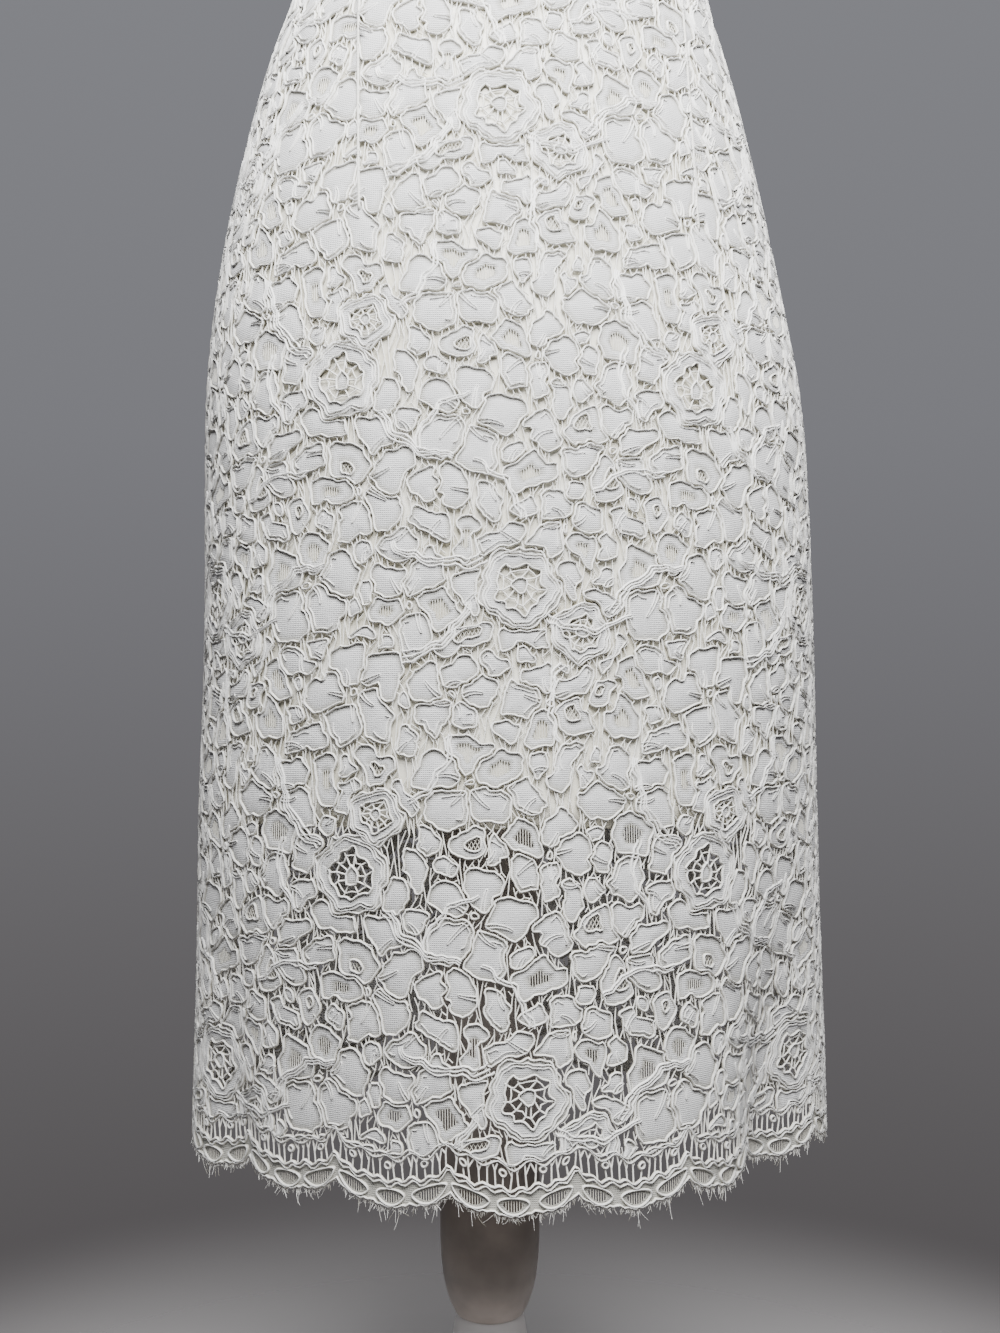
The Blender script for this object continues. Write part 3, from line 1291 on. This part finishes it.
def mixed(tree, share, colour, other):
    """A colour between two, by a socket's share."""
    return add_node(tree, "ShaderNodeMix", data_type="RGBA", Factor=share,
                    A=(*colour, 1), B=(*other, 1)).outputs["Result"]


def stepped(tree, value, low, high, **settings):
    """How far a socket's value has come between two values."""
    return add_node(tree, "ShaderNodeMapRange", Value=value, From_Min=low, From_Max=high,
                    **settings).outputs["Result"]


def in_space(tree):
    return add_node(tree, "ShaderNodeTexCoord").outputs["Object"]


def on_cloth(tree):
    return add_node(tree, "ShaderNodeAttribute", attribute_name="flat").outputs["Vector"]


def speckled(name, colour, other, roughness, scale, bump, depth, **inputs):
    """A plain finish with soft noise in its colour and its relief."""
    finish = principled(name, colour, roughness, **inputs)
    tree, shader = nodes_of(finish)
    noise = add_node(tree, "ShaderNodeTexNoise", Scale=scale, Detail=4.0,
                     Vector=in_space(tree)).outputs["Fac"]
    relief = add_node(tree, "ShaderNodeBump", Strength=bump, Distance=depth, Height=noise)
    tree.links.new(mixed(tree, noise, colour, other), shader.inputs["Base Color"])
    tree.links.new(relief.outputs["Normal"], shader.inputs["Normal"])
    return finish


def tint_low(finish, space, low, high, tint):
    """Tints a finish where the third number of a space is low, fading between two values of it."""
    tree, shader = nodes_of(finish)
    plain = shader.inputs["Base Color"].links[0].from_socket
    axes = add_node(tree, "ShaderNodeSeparateXYZ", Vector=space(tree))
    shade = mixed(tree, stepped(tree, axes.outputs["Z"], low, high), tint, (1, 1, 1))
    tinted = add_node(tree, "ShaderNodeMix", data_type="RGBA", blend_type="MULTIPLY", Factor=1.0,
                      A=plain, B=shade)
    tree.links.new(tinted.outputs["Result"], shader.inputs["Base Color"])


def cord_finish(name, colour, other, low, high, tint):
    """Twisted cord, paler on its top than at its foot."""
    finish = speckled(name, colour, other, 0.65, 900.0, 0.5, 0.0004)
    tint_low(finish, on_cloth, low, high, tint)
    return finish


def woven_finish(name, colour, other, thread, depth, low, high, tint):
    """Cloth with crossing threads, drawn in the flat cloth's own millimetres."""
    finish = principled(name, colour, 0.85, Sheen_Weight=0.15)
    tree, shader = nodes_of(finish)
    flat = on_cloth(tree)
    waves = [add_node(tree, "ShaderNodeTexWave", Scale=math.pi / (10 * thread), Distortion=1.2, Detail=1.0,
                      bands_direction=direction, Vector=flat).outputs["Fac"] for direction in ("X", "Y")]
    noise = add_node(tree, "ShaderNodeTexNoise", Scale=1.1, Detail=3.0, Vector=flat).outputs["Fac"]
    cross = add_node(tree, "ShaderNodeMath", *waves, operation="MULTIPLY").outputs[0]
    height = add_node(tree, "ShaderNodeMath", cross, noise, operation="ADD").outputs[0]
    relief = add_node(tree, "ShaderNodeBump", Strength=0.8, Distance=depth, Height=height)
    tree.links.new(mixed(tree, noise, other, colour), shader.inputs["Base Color"])
    tree.links.new(relief.outputs["Normal"], shader.inputs["Normal"])
    tint_low(finish, on_cloth, low, high, tint)
    return finish


def faded(finish, near, far):
    """Lets a finish fade away between two distances from the stand's axis."""
    tree, shader = nodes_of(finish)
    away = add_node(tree, "ShaderNodeVectorMath", in_space(tree), operation="LENGTH").outputs["Value"]
    share = stepped(tree, away, near, far, interpolation_type="SMOOTHSTEP")
    clear = add_node(tree, "ShaderNodeBsdfTransparent")
    mix = add_node(tree, "ShaderNodeMixShader", share, shader.outputs["BSDF"], clear.outputs["BSDF"])
    tree.links.new(mix.outputs["Shader"], tree.nodes["Material Output"].inputs["Surface"])


# Camera and light
CAMERA_AT = (-0.1107, -0.7518, 0.522)
CAMERA_TURN = math.radians(-8.82)
HORIZON_DOWN = 0.0581
LENS = 35.2
SENSOR_TALL = 36.0
FLOOR_HALF = 3.0


def add_camera():
    data = bpy.data.cameras.new("camera")
    data.lens = LENS
    data.sensor_fit = "VERTICAL"
    data.sensor_height = SENSOR_TALL
    data.shift_y = HORIZON_DOWN
    camera = bpy.data.objects.new("camera", data)
    camera.location = CAMERA_AT
    camera.rotation_euler = (math.pi / 2, 0, CAMERA_TURN)
    bpy.context.scene.collection.objects.link(camera)
    bpy.context.scene.camera = camera


def add_area(name, place, target, size, power):
    data = bpy.data.lights.new(name, "AREA")
    data.size = size
    data.energy = power
    lamp = bpy.data.objects.new(name, data)
    lamp.location = place
    lamp.rotation_euler = (Vector(target) - Vector(place)).to_track_quat("-Z", "Y").to_euler()
    bpy.context.scene.collection.objects.link(lamp)


FLOOR_FADE = (0.22, 0.80)
# Studio colours by the steepness of the direction looked in
SKY_LOW, SKY_HIGH = -0.42, 1.0
# place on the way from low to high, colour
SKY = (
    (0.0, (0.088, 0.081, 0.083)),
    (0.195, (0.135, 0.130, 0.136)),
    (0.454, (0.203, 0.204, 0.222)),
    (0.66, (0.232, 0.235, 0.256)),
    (0.80, (0.120, 0.121, 0.130)),
)
# The studio is lit behind the dress and dimmer beside and before it
BACKDROP_FROM, BACKDROP_FULL, DIM = 0.0, 0.75, 0.55


def add_floor():
    finish = speckled("floor", (0.36, 0.35, 0.35), (0.40, 0.39, 0.39), 0.8, 6.0, 0.05, 0.002)
    faded(finish, *FLOOR_FADE)
    h = FLOOR_HALF
    points = np.array(((-h, -h, 0), (h, -h, 0), (h, h, 0), (-h, h, 0)))
    mesh_object("floor", points, np.array(((0, 1, 2), (0, 2, 3))), finish)


def add_studio():
    world = bpy.data.worlds.new("studio")
    world.use_nodes = True
    tree = world.node_tree
    place = add_node(tree, "ShaderNodeTexCoord").outputs["Generated"]
    axes = add_node(tree, "ShaderNodeSeparateXYZ", Vector=place)
    ramp = add_node(tree, "ShaderNodeValToRGB", stepped(tree, axes.outputs["Z"], SKY_LOW, SKY_HIGH))
    stops = ramp.color_ramp.elements
    while len(stops) < len(SKY):
        stops.new(0.5)
    for stop, (at, colour) in zip(stops, SKY):
        stop.position = at
        stop.color = (*colour, 1)
    strength = stepped(tree, axes.outputs["Y"], BACKDROP_FROM, BACKDROP_FULL, To_Min=DIM,
                       interpolation_type="SMOOTHSTEP")
    background = tree.nodes["Background"]
    tree.links.new(ramp.outputs["Color"], background.inputs["Color"])
    tree.links.new(strength, background.inputs["Strength"])
    bpy.context.scene.world = world


# The parts put together

# Columns, rows and rows above the level part
PANEL_GRID = (40, 60, 24)
BINDING_GRID = (48, 20, 40)


def flat_area(points, faces):
    a, b, c = (points[faces[:, k]] for k in range(3))
    return float(np.linalg.norm(np.cross(b - a, c - a), axis=1).sum() / 2)


def lace_area(sheet):
    """Cloth without its gaps, as the woven patches lie flat, in square metres."""
    count = len(sheet.data.vertices)
    flat = np.empty(count * 3, dtype=np.float32)
    sheet.data.attributes["flat"].data.foreach_get("vector", flat)
    flat = flat.reshape(-1, 3) / 1000
    flat[:, 2] = 0
    faces = np.empty(len(sheet.data.polygons) * 3, dtype=np.int32)
    sheet.data.polygons.foreach_get("vertices", faces)
    return flat_area(flat, faces.reshape(-1, 3))


def panel_cut(panel, bottom):
    """Width, length and area of a panel's cut, in metres, with its darts sewn."""
    angles, heights = panel.grid(bottom, *PANEL_GRID)
    points = placed(angles, heights)
    across = np.linalg.norm(np.diff(points, axis=1), axis=2).sum(axis=1)
    up = np.linalg.norm(np.diff(points, axis=0), axis=2).sum(axis=0)
    faces = quads(*corners(np.arange(angles.size).reshape(angles.shape)))
    return (float(across.max()), float(up.max())), flat_area(points.reshape(-1, 3), faces)


def add_panel(panel, fine, coarse, finishes):
    """One panel of the dress: lace, fringe, lining and bindings."""
    woven, cord, thread, lining = finishes
    sheet, *rest = lay_lace(panel, fine, coarse, (woven, cord, thread))
    hairs = add_fringe(panel, thread)
    angles, heights = panel.grid(LINING_HEM, *PANEL_GRID)
    shell = closed_shell(f"lining_{panel.name}_sheet", angles, heights, LINING_IN, LINING_THICK, lining)
    edges = add_bindings(panel, lining)
    for thing in (sheet, *rest, hairs, shell, *edges):
        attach(thing, "dress_on_form")
    for thing, used, node in ((sheet, "white_lace", "lace"), (hairs, "white_thread", "fringe"),
                              (shell, "cream_lining", "lining")):
        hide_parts(f"{node}_{panel.name}")
    size, _ = panel_cut(panel, HEM)
    lace_area(sheet)
    size, area = panel_cut(panel, LINING_HEM)


def add_dress():
    woven = woven_finish("lace_woven", (0.66, 0.66, 0.66), (0.54, 0.54, 0.54), 1.0, 0.0003,
                         WOVEN_FOOT, 0.0, (0.60, 0.59, 0.54))
    cord = cord_finish("lace_cord", (0.97, 0.965, 0.95), (0.90, 0.895, 0.88),
                       -0.5, 0.55, (0.50, 0.48, 0.41))
    thread = cord_finish("lace_thread", (0.91, 0.90, 0.87), (0.84, 0.83, 0.80),
                         -0.6, 0.1, (0.60, 0.58, 0.50))
    lining = speckled("lining_satin", (0.46, 0.42, 0.27), (1.0, 0.99, 0.95), 0.38, 60.0, 0.15, 0.001)
    seams = add_side_seams(cord) + add_darts(cord)
    for seam in seams:
        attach(seam, "dress_on_form")
    fine, coarse = ((field_pattern(spacing), border_pattern(spacing))
                    for spacing in (FINE_SPACING, COARSE_SPACING))
    for panel in PANELS:
        add_panel(panel, fine, coarse, (woven, cord, thread, lining))


def add_metal():
    """The zip's own solids for its hard pieces, in metal."""
    metal = speckled("zip_metal", (0.68, 0.68, 0.69), (0.74, 0.74, 0.75), 0.22, 900.0, 0.05, 0.0001,
                     Metallic=1.0)
    for node in ("zip_slider", "zip_pull"):
        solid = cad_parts[node]
        solid.data.materials.clear()
        solid.data.materials.append(metal)


def add_stand():
    column = speckled("column_frosted", (0.02, 0.01, 0.0), (0.80, 0.73, 0.68), 0.42, 26.0, 0.05, 0.001)
    tint_low(column, in_space, 0.26, 0.36, (0.30, 0.27, 0.25))
    tint_low(column, in_space, 0.198, 0.216, (1.7, 1.75, 1.8))
    cone = speckled("cone_white", (0.50, 0.48, 0.47), (0.60, 0.58, 0.57), 0.38, 30.0, 0.04, 0.0005)
    for name, route, finish, used, node in (
            ("column_fine", COLUMN_ROUTE, column, "frosted_column", "stand_column"),
            ("foot_fine", CONE_ROUTE, cone, "white_foot", "stand_foot")):
        thing = turned(name, route, finish)
        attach(thing, "dress_on_form")
        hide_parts(node)


def main():
    add_dress()
    add_zip(speckled("zip_plastic", (0.80, 0.79, 0.75), (0.85, 0.84, 0.80), 0.45, 700.0, 0.1, 0.0002))
    add_metal()
    add_form(speckled("form_white", (0.76, 0.76, 0.74), (0.80, 0.80, 0.78), 0.55, 60.0, 0.08, 0.0005))
    add_stand()
    add_floor()
    add_studio()
    add_camera()
    add_area("key", (-0.04, -0.72, 1.68), (0, 0, 0.80), 0.85, 80)
    add_area("back", (0.2, 1.6, 1.9), (0, 0, 0.8), 1.0, 18)


main()
